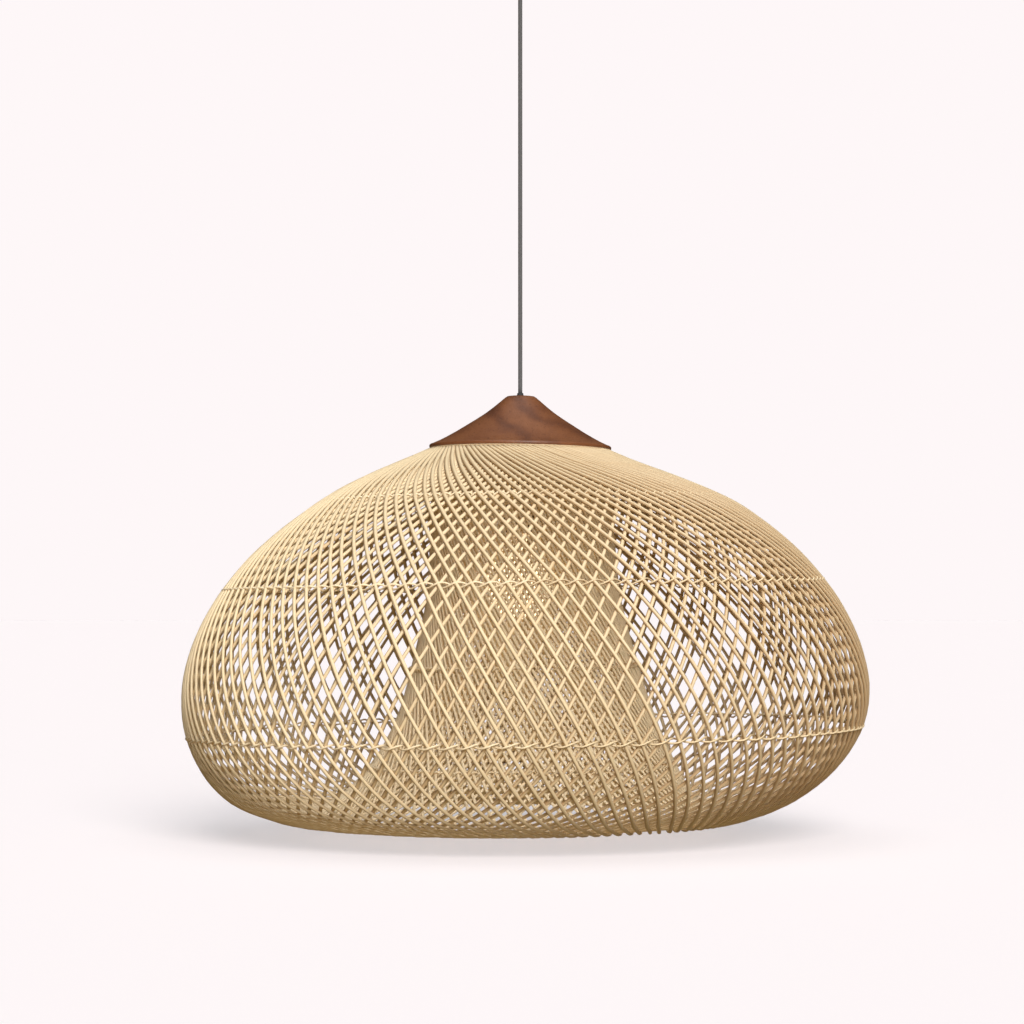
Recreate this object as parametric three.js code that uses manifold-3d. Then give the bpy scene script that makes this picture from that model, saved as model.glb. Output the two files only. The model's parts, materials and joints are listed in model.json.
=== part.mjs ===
// Pendant ceiling light: a wide woven rattan shade under a turned wooden cap, hung on a
// textile cord from a ceiling canopy. Millimetres, +Z up, origin on the ceiling face of
// the fixing bracket, straight above the middle of the lamp.
import * as THREE from 'three';
import { mergeVertices } from 'three/addons/utils/BufferGeometryUtils.js';
import Module from 'manifold-3d';

const wasm = await Module();
wasm.setup();

// ---- Driving dimensions ----------------------------------------------------------------
const SHADE_RADIUS = 400;
const GAP = 0.3;
const CORD_RADIUS = 2.5;
const CORD_SIDES = 8;
const CORD_STEP = 15;

const BRACKET = { length: 92, width: 20, thick: 2, tab: 15, holeSpacing: 64, holeRadius: 2.3 };
const CANOPY = { radius: 50, wall: 1.5, top: -0.5, base: -46, corner: 5, stemHole: 5.3 };
const GLAND = { top: -36, base: -62.2, stem: 4.9, flange: 9, bore: 2.9, mouth: 4.4 };
const NECK_TOP = -65;                      // first bending point of the cord
const NECK_LENGTH = 20;                    // from there to the second bending point
const CORD_TOP = NECK_TOP - NECK_LENGTH;
const CAP_TOP = -570;                      // flat top of the wooden cap
const FERRULE_RISE = 4.5;
const CORD_END = CAP_TOP + FERRULE_RISE + 1;

const CAP = { height: 61, topRadius: 16, baseRadius: 106.7, bore: 4.6, cavity: 19 };
const CAP_BASE = CAP_TOP - CAP.height;
const PLATE = { outer: 98, inner: 85, thick: 2, hub: 20, arms: 3, armHalf: 8 };
const PLATE_TOP = CAP_BASE - GAP;
const PLATE_BASE = PLATE_TOP - PLATE.thick;
const HOOP = { radius: 95.5, rod: 3.5 };
const HOOP_Z = PLATE_BASE - GAP - HOOP.rod;
const CAP_SCREW_RADIUS = 91;
const TUBE = { outer: 5, inner: 3.6, top: CAP_TOP - 24, base: CAP_TOP - 106 };
const HOLDER_TOP = CAP_TOP - 96;
const HOLDER = { dome: 24, radius: 20.5, skirt: 42, wall: 2, sleeve: 14 };
const HOLDER_MOUTH = HOLDER_TOP - HOLDER.dome - HOLDER.skirt;
const BULB = { cap: 13, globe: 40, neck: 12.6 };

// The woven wall, outer face, from under the cap down to its lowest circle (radius, height
// below the cap's top), and the flared tube inside it from there back up to the hoop.
const WALL_OUTLINE = [
  [103.5, -64.6], [143, -77.3], [196, -99], [247, -126.5], [303, -169], [352, -222],
  [386, -283], [SHADE_RADIUS, -345], [392, -396], [366, -442], [329, -475], [290, -492.5],
  [257.5, -497],
];
const FLARE_OUTLINE = [
  [257, -497], [226, -489], [194, -462], [166, -421], [143, -372], [125, -310], [108, -240],
  [102, -165], [96, -73.5],
];
const LAYER = 2.7;                         // thickness of one layer of canes
const WALL_STEPS = 12;
const FLARE_STEPS = 10;
// The colliding layer of each is laid in three stretches, between these steps of its outline.
const WALL_STRETCHES = [['shade_crown_canes', 0, 5], ['shade_belly_canes', 5, 9], ['shade_rim_canes', 9, 12]];
const FLARE_STRETCHES = [['flare_mouth_canes', 0, 2], ['flare_bell_canes', 2, 5], ['flare_tube_canes', 5, 10]];
const RING_ROD = 1.8;
const RING_LEVELS = { upper: -121, middle: -221, lower: -392 };
const FLARE_RING_LEVELS = { upper: -310, lower: -435 };

const SHADE_SIDES = 36;
const TURNED_SIDES = 36;
const ROUND_SIDES = 20;
const SMALL_SIDES = 12;
const SCREW_SIDES = 10;
const RING_SIDES = 6;

// ---- Finishes --------------------------------------------------------------------------
const FINISH = {
  rattan: { color: 0xe6cf9c, roughness: 0.6, metalness: 0 },
  rattanInside: { color: 0xc9a873, roughness: 0.65, metalness: 0 },
  teak: { color: 0x86503a, roughness: 0.45, metalness: 0 },
  textile: { color: 0x5c5d5f, roughness: 0.9, metalness: 0 },
  rubber: { color: 0x2e2e30, roughness: 0.8, metalness: 0 },
  paint: { color: 0x4c4d50, roughness: 0.5, metalness: 0.2 },
  steel: { color: 0xb9babc, roughness: 0.35, metalness: 1 },
  brass: { color: 0xc9a24e, roughness: 0.3, metalness: 1 },
  plastic: { color: 0x1d1d1f, roughness: 0.45, metalness: 0 },
  ceramic: { color: 0xeeebe4, roughness: 0.3, metalness: 0 },
  glass: { color: 0xfff3dc, roughness: 0.1, metalness: 0, transparent: true, opacity: 0.4 },
};

const lamp = new THREE.Group();

function addPart(name, geometry, finish) {
  const mesh = new THREE.Mesh(geometry, new THREE.MeshStandardMaterial(FINISH[finish]));
  mesh.name = name;
  lamp.add(mesh);
  return mesh;
}

// ---- Geometry helpers ------------------------------------------------------------------
function weld(geometry) {
  const bare = geometry.clone();
  for (const name of Object.keys(bare.attributes)) {
    if (name !== 'position') {
      bare.deleteAttribute(name);
    }
  }
  return mergeVertices(bare, 1e-4);
}

function signedVolume(geometry) {
  const position = geometry.attributes.position;
  const index = geometry.index;
  const corner = [new THREE.Vector3(), new THREE.Vector3(), new THREE.Vector3()];
  let total = 0;
  for (let i = 0; i < index.count; i += 3) {
    corner.forEach((point, k) => point.fromBufferAttribute(position, index.getX(i + k)));
    total += corner[0].dot(corner[1].clone().cross(corner[2]));
  }
  return total / 6;
}

// One closed skin with every face pointing out and no zero-area triangle.
function closedSkin(geometry) {
  const skin = weld(geometry);
  const old = skin.index;
  const kept = [];
  for (let i = 0; i < old.count; i += 3) {
    const [a, b, c] = [old.getX(i), old.getX(i + 1), old.getX(i + 2)];
    if (a !== b && b !== c && c !== a) {
      kept.push(a, b, c);
    }
  }
  skin.setIndex(kept);
  if (signedVolume(skin) < 0) {
    for (let i = 0; i < kept.length; i += 3) {
      [kept[i + 1], kept[i + 2]] = [kept[i + 2], kept[i + 1]];
    }
    skin.setIndex(kept);
  }
  return skin;
}

function toManifold(geometry) {
  const skin = closedSkin(geometry);
  return new wasm.Manifold(new wasm.Mesh({
    numProp: 3,
    vertProperties: Float32Array.from(skin.attributes.position.array),
    triVerts: Uint32Array.from(skin.index.array),
  }));
}

function fromManifold(solid) {
  const mesh = solid.getMesh();
  const geometry = new THREE.BufferGeometry();
  geometry.setAttribute('position', new THREE.BufferAttribute(mesh.vertProperties, 3));
  geometry.setIndex(new THREE.BufferAttribute(mesh.triVerts, 1));
  return geometry;
}

function cut(body, tools) {
  return fromManifold(tools.reduce((rest, tool) => rest.subtract(toManifold(tool)), toManifold(body)));
}

function join(pieces) {
  return fromManifold(pieces.map(toManifold).reduce((sum, piece) => sum.add(piece)));
}

// A turned body about the Z axis from an outline of [radius, height] points.
function turned(outline, sides) {
  const points = outline.map(([radius, height]) => new THREE.Vector2(radius, height));
  return closedSkin(new THREE.LatheGeometry(points, sides).rotateX(Math.PI / 2));
}

// A turned wall: the outline closes on itself and never meets the axis.
function turnedWall(outline, sides) {
  return turned([...outline, outline[0]], sides);
}

function plainRing(outer, inner, top, base, sides) {
  return turnedWall([[outer, base], [outer, top], [inner, top], [inner, base]], sides);
}

function roundBar(radius, length, sides) {
  return new THREE.CylinderGeometry(radius, radius, length, sides).rotateX(Math.PI / 2);
}

function block(x, y, z) {
  return new THREE.BoxGeometry(x, y, z);
}

function hexagon(radius) {
  const shape = new THREE.Shape();
  for (let i = 0; i < 6; i += 1) {
    const turn = i * Math.PI / 3;
    const [x, y] = [radius * Math.cos(turn), radius * Math.sin(turn)];
    if (i === 0) {
      shape.moveTo(x, y);
    } else {
      shape.lineTo(x, y);
    }
  }
  shape.closePath();
  return shape;
}

function hexNut(radius, bore, thick, base) {
  const shape = hexagon(radius);
  const hole = new THREE.Path();
  hole.absarc(0, 0, bore, 0, 2 * Math.PI, true);
  shape.holes.push(hole);
  const settings = { depth: thick, bevelEnabled: false, curveSegments: SMALL_SIDES };
  return closedSkin(new THREE.ExtrudeGeometry(shape, settings).translate(0, 0, base));
}

// A pan-head screw on its own axis, head up at height 0, shank reaching down.
function panScrew(headRadius, headHeight, shankRadius, length) {
  return turned([
    [0, -length], [shankRadius * 0.5, -length], [shankRadius, -length + shankRadius],
    [shankRadius, 0], [headRadius, 0], [headRadius, headHeight * 0.45],
    [headRadius * 0.6, headHeight], [0, headHeight],
  ], SCREW_SIDES);
}

function roundRod(points, radius, sides, steps) {
  const route = new THREE.CatmullRomCurve3(points.map((p) => new THREE.Vector3(...p)), false, 'centripetal');
  const section = new THREE.Shape();
  for (let i = 0; i < sides; i += 1) {
    const turn = i * 2 * Math.PI / sides;
    const [x, y] = [radius * Math.cos(turn), radius * Math.sin(turn)];
    if (i === 0) {
      section.moveTo(x, y);
    } else {
      section.lineTo(x, y);
    }
  }
  section.closePath();
  return closedSkin(new THREE.ExtrudeGeometry(section, { steps, extrudePath: route, bevelEnabled: false }));
}

function straightCord(top, base) {
  const steps = Math.max(1, Math.round((top - base) / CORD_STEP));
  return roundRod([[0, 0, top], [0, 0, (top + base) / 2], [0, 0, base]], CORD_RADIUS, CORD_SIDES, steps);
}

// ---- Outline of the woven body ---------------------------------------------------------
function smoothOutline(points, samples) {
  const curve = new THREE.SplineCurve(points.map(([r, z]) => new THREE.Vector2(r, CAP_TOP + z)));
  return curve.getSpacedPoints(samples);
}

// The outline moved to the right of its running direction by the given depth. The wall and
// the flare meet at the lowest circle, where both run level.
function offsetOutline(points, depth, lowest) {
  return points.map((point, i) => {
    const before = points[Math.max(0, i - 1)];
    const after = points[Math.min(points.length - 1, i + 1)];
    const run = i === lowest ? new THREE.Vector2(-1, 0) : after.clone().sub(before).normalize();
    return [point.x + run.y * depth, point.y - run.x * depth];
  });
}

// One layer of canes between two points of the outline, as a turned wall.
function layerShell(points, near, far, lowest, first = 0, last = points.length - 1) {
  const stretch = (depth) => offsetOutline(points, depth, lowest)
    .map(([x, y]) => new THREE.Vector2(x, y)).slice(first, last + 1);
  const [face, back] = [stretch(near), stretch(far)];
  if (last < points.length - 1) {
    for (const side of [face, back]) {
      const end = side[side.length - 1];
      end.add(side[side.length - 2].clone().sub(end).setLength(GAP));
    }
  }
  return turnedWall([...face, ...back.reverse()].map((point) => [point.x, point.y]), SHADE_SIDES);
}

// The middle of a weft ring that lies behind the outline at the given height.
function ringCentre(points, height, depth) {
  const i = points.findIndex((point, k) => k > 0 && (points[k - 1].y - height) * (point.y - height) <= 0);
  const [a, b] = [points[i - 1], points[i]];
  const run = b.clone().sub(a);
  const spot = a.clone().addScaledVector(run, (height - a.y) / run.y);
  run.normalize();
  return [spot.x + run.y * depth, spot.y - run.x * depth];
}

function weftRing([radius, height], rod) {
  const outline = [];
  for (let i = 0; i < RING_SIDES; i += 1) {
    const turn = i * 2 * Math.PI / RING_SIDES;
    outline.push([radius + rod * Math.cos(turn), height + rod * Math.sin(turn)]);
  }
  return turnedWall(outline, SHADE_SIDES);
}

// ---- Ceiling fixing --------------------------------------------------------------------
function ceilingBracket() {
  const { length, width, thick, tab, holeSpacing, holeRadius } = BRACKET;
  const pieces = [block(length, width, thick).translate(0, 0, -thick / 2)];
  for (const side of [-1, 1]) {
    pieces.push(block(thick, width, tab).translate(side * (length - thick) / 2, 0, -tab / 2));
  }
  const holes = [-1, 1].map((side) => roundBar(holeRadius, 10, SMALL_SIDES)
    .translate(side * holeSpacing / 2, 0, -thick / 2));
  for (const side of [-1, 1]) {
    holes.push(roundBar(1.9, 8, SCREW_SIDES).rotateY(Math.PI / 2).translate(side * length / 2, 0, -9));
  }
  for (const side of [-1, 1]) {
    holes.push(roundBar(1.5, 8, SCREW_SIDES).translate(side * 9, 0, -thick / 2));
  }
  return cut(join(pieces), holes);
}

function buildCeilingFixing() {
  addPart('ceiling_bracket', ceilingBracket(), 'steel');
  for (const [name, side] of [['left', -1], ['right', 1]]) {
    const screw = panScrew(4, 2.4, 1.9, 1.6).rotateX(Math.PI);
    addPart(`ceiling_screw_${name}`, screw, 'steel')
      .position.set(side * BRACKET.holeSpacing / 2, 0, -BRACKET.thick - GAP);
  }
  const clampBody = cut(
    block(26, 12, 7),
    [roundBar(CORD_RADIUS + 0.4, 20, SMALL_SIDES),
      roundBar(1.8, 20, SCREW_SIDES).translate(-9, 0, 0),
      roundBar(1.8, 20, SCREW_SIDES).translate(9, 0, 0)],
  );
  addPart('cord_clamp', clampBody, 'plastic').position.z = -BRACKET.thick - GAP - 3.5;
  for (const [name, side] of [['left', -1], ['right', 1]]) {
    const screw = panScrew(3, 2, 1.3, 8.5).rotateX(Math.PI);
    addPart(`clamp_screw_${name}`, screw, 'steel')
      .position.set(side * 9, 0, -BRACKET.thick - 2 * GAP - 7);
  }
  const terminal = cut(
    block(20, 12, 11),
    [-5, 5].flatMap((x) => [
      roundBar(1.9, 30, SCREW_SIDES).rotateX(Math.PI / 2).translate(x, 0, -1.5),
      roundBar(1.7, 8, SCREW_SIDES).translate(x, 0, -5.5),
    ]),
  );
  addPart('terminal_block', terminal, 'ceramic').position.set(25, -1, -12);
  for (const [name, x] of [['live', 20], ['neutral', 30]]) {
    addPart(`terminal_screw_${name}`, roundBar(1.4, 2.6, SCREW_SIDES), 'brass').position.set(x, -1, -16.2);
  }
}

function buildCanopy() {
  const { radius, wall, top, base, corner, stemHole } = CANOPY;
  const cup = turnedWall([
    [radius, top], [radius - wall, top], [radius - wall, base + corner],
    [radius - wall - corner * 0.4, base + wall + 1], [radius - corner - wall, base + wall],
    [stemHole, base + wall], [stemHole, base], [radius - corner, base],
    [radius - corner * 0.3, base + corner * 0.3], [radius, base + corner],
  ], TURNED_SIDES);
  const holes = [-1, 1].map((side) => roundBar(2.2, 8, SCREW_SIDES)
    .rotateY(Math.PI / 2).translate(side * radius, 0, -9));
  addPart('canopy_cup', cut(cup, holes), 'paint');
  for (const [name, side] of [['left', -1], ['right', 1]]) {
    const screw = panScrew(3.6, 2.2, 1.6, 8).rotateY(side * Math.PI / 2);
    addPart(`canopy_screw_${name}`, screw, 'paint').position.set(side * (radius + GAP), 0, -9);
  }
  const gland = turnedWall([
    [GLAND.stem, GLAND.top], [GLAND.bore, GLAND.top], [GLAND.bore, GLAND.base + 7],
    [GLAND.mouth, GLAND.base], [6, GLAND.base], [6.8, GLAND.base + 1], [GLAND.flange, base - 4],
    [GLAND.flange, base - GAP], [GLAND.stem, base - GAP],
  ], ROUND_SIDES);
  addPart('canopy_gland', gland, 'plastic');
  addPart('gland_nut', hexNut(9, GLAND.stem + GAP, 5, base + wall + GAP), 'plastic');
  addPart('canopy_lead', roundRod(
    [[0, 0, -5], [0, 0, -20], [0, 0, -40], [0, 0, GLAND.base + 4]],
    CORD_RADIUS, CORD_SIDES, 6,
  ), 'textile');
}

// ---- Cord ------------------------------------------------------------------------------
function buildCord() {
  const arc = (centre, from) => [0, 1, 2, 3].map((i) => {
    const turn = from + i * Math.PI / 6;
    return [Math.max(0, CORD_RADIUS * Math.cos(turn)), centre + CORD_RADIUS * Math.sin(turn)];
  });
  const neck = turned([...arc(CORD_TOP, -Math.PI / 2), ...arc(NECK_TOP, 0)], CORD_SIDES);
  addPart('cord_neck', neck, 'textile');
  addPart('suspension_cord', straightCord(CORD_TOP - CORD_RADIUS - GAP, CORD_END), 'textile');
}

// ---- Cap and its fittings --------------------------------------------------------------
function buildCap() {
  const { height, topRadius, baseRadius, bore, cavity } = CAP;
  const at = (radius, depth) => [radius, CAP_TOP - depth];
  const cap = turnedWall([
    at(bore, 0), at(topRadius, 0), at(topRadius + 4, 1.4), at(25.5, 7.5), at(43, 21), at(65, 35),
    at(89, 49.5), at(103.5, 56.5), at(baseRadius, 58), at(baseRadius, height - 0.8), at(105.9, height),
    at(72, height), at(40, 36), at(cavity, 30), at(cavity, 9), at(bore, 9),
  ], TURNED_SIDES);
  const pilots = capScrewPlaces().map(([x, y]) => roundBar(1.6, 18, SCREW_SIDES).translate(x, y, CAP_BASE));
  addPart('wooden_cap', cut(cap, pilots), 'teak');
  addPart('cap_grommet', turnedWall([
    [CORD_RADIUS + 0.1, CAP_TOP + FERRULE_RISE], [CORD_RADIUS + 0.9, CAP_TOP + FERRULE_RISE],
    [CORD_RADIUS + 1.7, CAP_TOP + GAP], [bore - GAP, CAP_TOP + GAP],
    [bore - GAP, CAP_TOP - 8.6], [CORD_RADIUS + 0.4, CAP_TOP - 8.6],
    [CORD_RADIUS + 0.4, CAP_TOP + FERRULE_RISE - 1],
  ], SMALL_SIDES), 'rubber');
}

function capScrewPlaces() {
  return [0, 1, 2].map((i) => {
    const turn = Math.PI / 2 + i * 2 * Math.PI / PLATE.arms;
    return [CAP_SCREW_RADIUS * Math.cos(turn), CAP_SCREW_RADIUS * Math.sin(turn)];
  });
}

function topPlate() {
  const { outer, inner, thick, hub, arms, armHalf } = PLATE;
  const rim = plainRing(outer, inner, PLATE_TOP, PLATE_BASE, TURNED_SIDES);
  const pieces = [rim, roundBar(hub, thick, ROUND_SIDES).translate(0, 0, PLATE_TOP - thick / 2)];
  for (let i = 0; i < arms; i += 1) {
    const arm = block(inner + 3, 2 * armHalf, thick);
    arm.translate((inner + 3) / 2, 0, PLATE_TOP - thick / 2);
    pieces.push(arm.rotateZ(Math.PI / 2 + i * 2 * Math.PI / arms));
  }
  const holes = [roundBar(TUBE.outer + GAP, 20, SMALL_SIDES).translate(0, 0, PLATE_TOP)];
  for (const [x, y] of capScrewPlaces()) {
    holes.push(roundBar(2.1, 20, SCREW_SIDES).translate(x, y, PLATE_TOP));
  }
  return cut(join(pieces), holes);
}

function buildCapFittings() {
  addPart('top_plate', topPlate(), 'steel');
  const hoop = weftRing([HOOP.radius, HOOP_Z], HOOP.rod);
  const holes = capScrewPlaces().map(([x, y]) => roundBar(2.1, 20, SCREW_SIDES).translate(x, y, HOOP_Z));
  addPart('top_hoop', cut(hoop, holes), 'rattanInside');
  capScrewPlaces().forEach(([x, y], i) => {
    const screw = panScrew(3.4, 2, 1.2, 14).rotateX(Math.PI);
    addPart(`cap_screw_${i + 1}`, screw, 'steel')
      .position.set(x, y, HOOP_Z - HOOP.rod - GAP);
  });
  const grip = turnedWall([
    [3, TUBE.top + 13], [7.5, TUBE.top + 13], [9, TUBE.top + 11.5], [9, TUBE.top - 6],
    [TUBE.outer + GAP, TUBE.top - 6], [TUBE.outer + GAP, TUBE.top + GAP], [3, TUBE.top + GAP],
  ], SMALL_SIDES);
  const screwHole = roundBar(1.8, 10, SCREW_SIDES).rotateY(Math.PI / 2).translate(6.5, 0, TUBE.top + 6);
  addPart('cord_grip', cut(grip, [screwHole]), 'plastic');
  const grub = roundBar(1.5, 5.5, SCREW_SIDES).rotateY(Math.PI / 2).translate(6, 0, TUBE.top + 6);
  addPart('grip_screw', closedSkin(grub), 'steel');
  addPart('threaded_tube', plainRing(TUBE.outer, TUBE.inner, TUBE.top, TUBE.base, SMALL_SIDES), 'steel');
  const nutTop = PLATE_TOP + GAP;
  addPart('lock_nut_upper', hexNut(9.2, TUBE.outer + GAP, 3.5, nutTop), 'steel');
  addPart('plate_washer', plainRing(11, TUBE.outer + GAP, PLATE_BASE - GAP, PLATE_BASE - GAP - 1.2, ROUND_SIDES), 'steel');
  addPart('lock_nut_lower', hexNut(9.2, TUBE.outer + GAP, 3.5, PLATE_BASE - 2 * GAP - 4.7), 'steel');
  addPart('lampholder_lead', roundRod(
    [[0, 0, CAP_TOP + FERRULE_RISE - 2], [0, 0, CAP_TOP - 40], [0, 0, TUBE.base - 2]],
    CORD_RADIUS, CORD_SIDES, 8,
  ), 'textile');
}

// ---- Lampholder and bulb ---------------------------------------------------------------
function buildLampholder() {
  const { dome, radius, skirt, wall, sleeve } = HOLDER;
  const shoulder = HOLDER_TOP - dome;
  addPart('lampholder_dome', turnedWall([
    [TUBE.outer + GAP, HOLDER_TOP], [8.5, HOLDER_TOP], [10, HOLDER_TOP - 6], [16, HOLDER_TOP - 11],
    [radius, HOLDER_TOP - 17], [radius, shoulder], [radius - wall, shoulder],
    [radius - wall, HOLDER_TOP - 18], [15, HOLDER_TOP - 14], [TUBE.outer + GAP, HOLDER_TOP - 10],
  ], ROUND_SIDES), 'plastic');
  addPart('lampholder_skirt', turnedWall([
    [radius, shoulder - GAP], [radius, HOLDER_MOUTH], [radius - wall, HOLDER_MOUTH],
    [radius - wall, shoulder - GAP],
  ], ROUND_SIDES), 'plastic');
  addPart('lampholder_core', turnedWall([
    [4, shoulder - 1], [17.5, shoulder - 1], [17.5, shoulder - 9], [4, shoulder - 9],
  ], ROUND_SIDES), 'ceramic');
  addPart('screw_sleeve', turnedWall([
    [sleeve + 0.8, shoulder - 9.4], [sleeve + 0.8, HOLDER_MOUTH + 3], [sleeve, HOLDER_MOUTH + 3],
    [sleeve, shoulder - 9.4],
  ], ROUND_SIDES), 'brass');
  addPart('centre_contact', block(7, 4, 0.8).translate(0, 0, shoulder - 10), 'brass');
}

function buildBulb() {
  const capTop = HOLDER_TOP - HOLDER.dome - 17;
  const shell = [[BULB.cap - 3.5, capTop], [BULB.cap - 1, capTop - 2]];
  const inside = [[BULB.cap - 4, capTop]];
  for (let turn = 0; turn < 4; turn += 1) {
    const z = capTop - 4 - turn * 3.6;
    shell.push([BULB.cap, z], [BULB.cap - 1, z - 1.8]);
  }
  shell.push([BULB.cap, capTop - 20], [BULB.cap, capTop - 24]);
  inside.push([BULB.cap - 2, capTop - 3], [BULB.cap - 2, capTop - 19.4], [BULB.cap - 0.6, capTop - 20]);
  inside.push([BULB.cap - 0.6, capTop - 24]);
  addPart('bulb_screw_cap', turnedWall([...shell, ...inside.reverse()], ROUND_SIDES), 'brass');
  const insulator = turned([
    [0, capTop + 2.4], [4, capTop + 2.4], [7, capTop + 0.4], [7, capTop - 0.5], [0, capTop - 0.5],
  ], SMALL_SIDES);
  addPart('bulb_insulator', insulator, 'plastic');
  addPart('bulb_tip_contact', turned([
    [0, capTop + 4.4], [2.5, capTop + 4.2], [3.6, capTop + 2.7], [0, capTop + 2.7],
  ], SMALL_SIDES), 'brass');

  const globeZ = capTop - 85;
  const face = [[BULB.neck - 0.4 - GAP, capTop - 20.3], [BULB.neck - 0.4 - GAP, capTop - 26],
    [14.5, capTop - 34], [19.5, capTop - 44]];
  for (let i = 0; i <= 9; i += 1) {
    const turn = THREE.MathUtils.degToRad(50 - i * 140 / 9);
    face.push([Math.max(0.0, BULB.globe * Math.cos(turn)), globeZ + BULB.globe * Math.sin(turn)]);
  }
  const bore = face.slice(0, -1).map(([r, z], i) => {
    const lean = i < 4 ? [r - 1, z] : [r * 0.975, globeZ + (z - globeZ) * 0.975];
    return lean;
  });
  bore.push([0, globeZ - BULB.globe * 0.975]);
  addPart('bulb_glass', turned([...bore.reverse(), ...face], ROUND_SIDES), 'glass');
  const stem = turned([
    [0, capTop - 22], [6, capTop - 22], [7.5, capTop - 26], [3, capTop - 40], [2.4, capTop - 62],
    [0, capTop - 62],
  ], SMALL_SIDES);
  addPart('bulb_stem', stem, 'ceramic');
}

// ---- Shade -----------------------------------------------------------------------------
function buildShade() {
  const wall = smoothOutline(WALL_OUTLINE, WALL_STEPS);
  const flare = smoothOutline(FLARE_OUTLINE, FLARE_STEPS);
  for (const [name, first, last] of WALL_STRETCHES) {
    addPart(name, layerShell(wall, 0, LAYER, WALL_STEPS, first, last), 'rattan');
  }
  addPart('shade_weave_inner', layerShell(wall, LAYER + GAP, 2 * LAYER + GAP, WALL_STEPS), 'rattan');
  for (const [name, first, last] of FLARE_STRETCHES) {
    addPart(name, layerShell(flare, 0, LAYER, 0, first, last), 'rattanInside');
  }
  addPart('flare_weave_outer', layerShell(flare, LAYER + GAP, 2 * LAYER + GAP, 0), 'rattanInside');
  const depth = 2 * LAYER + GAP + RING_ROD + 1;
  for (const [name, level] of Object.entries(RING_LEVELS)) {
    const ring = weftRing(ringCentre(wall, CAP_TOP + level, depth), RING_ROD);
    addPart(`shade_ring_${name}`, ring, 'rattan');
  }
  for (const [name, level] of Object.entries(FLARE_RING_LEVELS)) {
    const ring = weftRing(ringCentre(flare, CAP_TOP + level, depth), RING_ROD);
    addPart(`flare_ring_${name}`, ring, 'rattanInside');
  }
}

buildCeilingFixing();
buildCanopy();
buildCord();
buildCap();
buildCapFittings();
buildLampholder();
buildBulb();
buildShade();

export default lamp;
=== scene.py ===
"""Looks of a woven rattan pendant light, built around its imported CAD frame.

The canes of the shade, the twined rings, the turned cap, the cord and the fittings that are
seen are modelled here in metres, in the frame's own coordinates. The frame's small hidden
fittings stay as they are and are given finishes.
"""

import json
import logging
import math
import random
from dataclasses import dataclass
from enum import Enum
from typing import Optional, Sequence

import bmesh
import bpy
from mathutils import Matrix, Vector, noise

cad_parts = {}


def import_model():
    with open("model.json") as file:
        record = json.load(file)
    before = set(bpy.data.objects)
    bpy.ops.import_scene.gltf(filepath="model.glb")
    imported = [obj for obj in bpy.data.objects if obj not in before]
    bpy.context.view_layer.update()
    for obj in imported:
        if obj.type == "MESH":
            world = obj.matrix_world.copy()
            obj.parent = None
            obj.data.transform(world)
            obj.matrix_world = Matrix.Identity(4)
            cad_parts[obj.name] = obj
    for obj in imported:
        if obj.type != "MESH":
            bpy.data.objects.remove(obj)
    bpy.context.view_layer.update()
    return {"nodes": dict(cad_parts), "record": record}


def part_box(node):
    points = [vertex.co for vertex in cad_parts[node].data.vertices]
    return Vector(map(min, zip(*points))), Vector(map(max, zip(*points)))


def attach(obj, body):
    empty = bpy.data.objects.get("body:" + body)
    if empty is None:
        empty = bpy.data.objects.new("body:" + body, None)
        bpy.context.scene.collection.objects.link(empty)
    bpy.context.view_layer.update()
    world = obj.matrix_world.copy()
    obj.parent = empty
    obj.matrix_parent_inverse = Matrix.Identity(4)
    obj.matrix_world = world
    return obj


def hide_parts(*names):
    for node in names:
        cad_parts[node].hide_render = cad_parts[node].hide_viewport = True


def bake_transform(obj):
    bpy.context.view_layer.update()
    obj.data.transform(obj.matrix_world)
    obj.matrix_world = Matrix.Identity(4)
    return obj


logging.basicConfig(level=logging.INFO, format="%(message)s")
log = logging.getLogger("pendant")

Point = tuple[float, float]


class Body(Enum):
    """The rigid bodies of the lamp that the pieces ride on."""

    CEILING = "ceiling_fixing"
    NECK = "cord_neck"
    CORD = "cord"
    ENTRY = "cord_entry"
    LAMP = "lamp"
    BULB = "bulb"


class Way(Enum):
    """The way that a layer of canes winds round the shade, seen from outside going down."""

    RIGHT = 1
    LEFT = -1


# ---------------------------------------------------------------------------------------
# Shader maths


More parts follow.
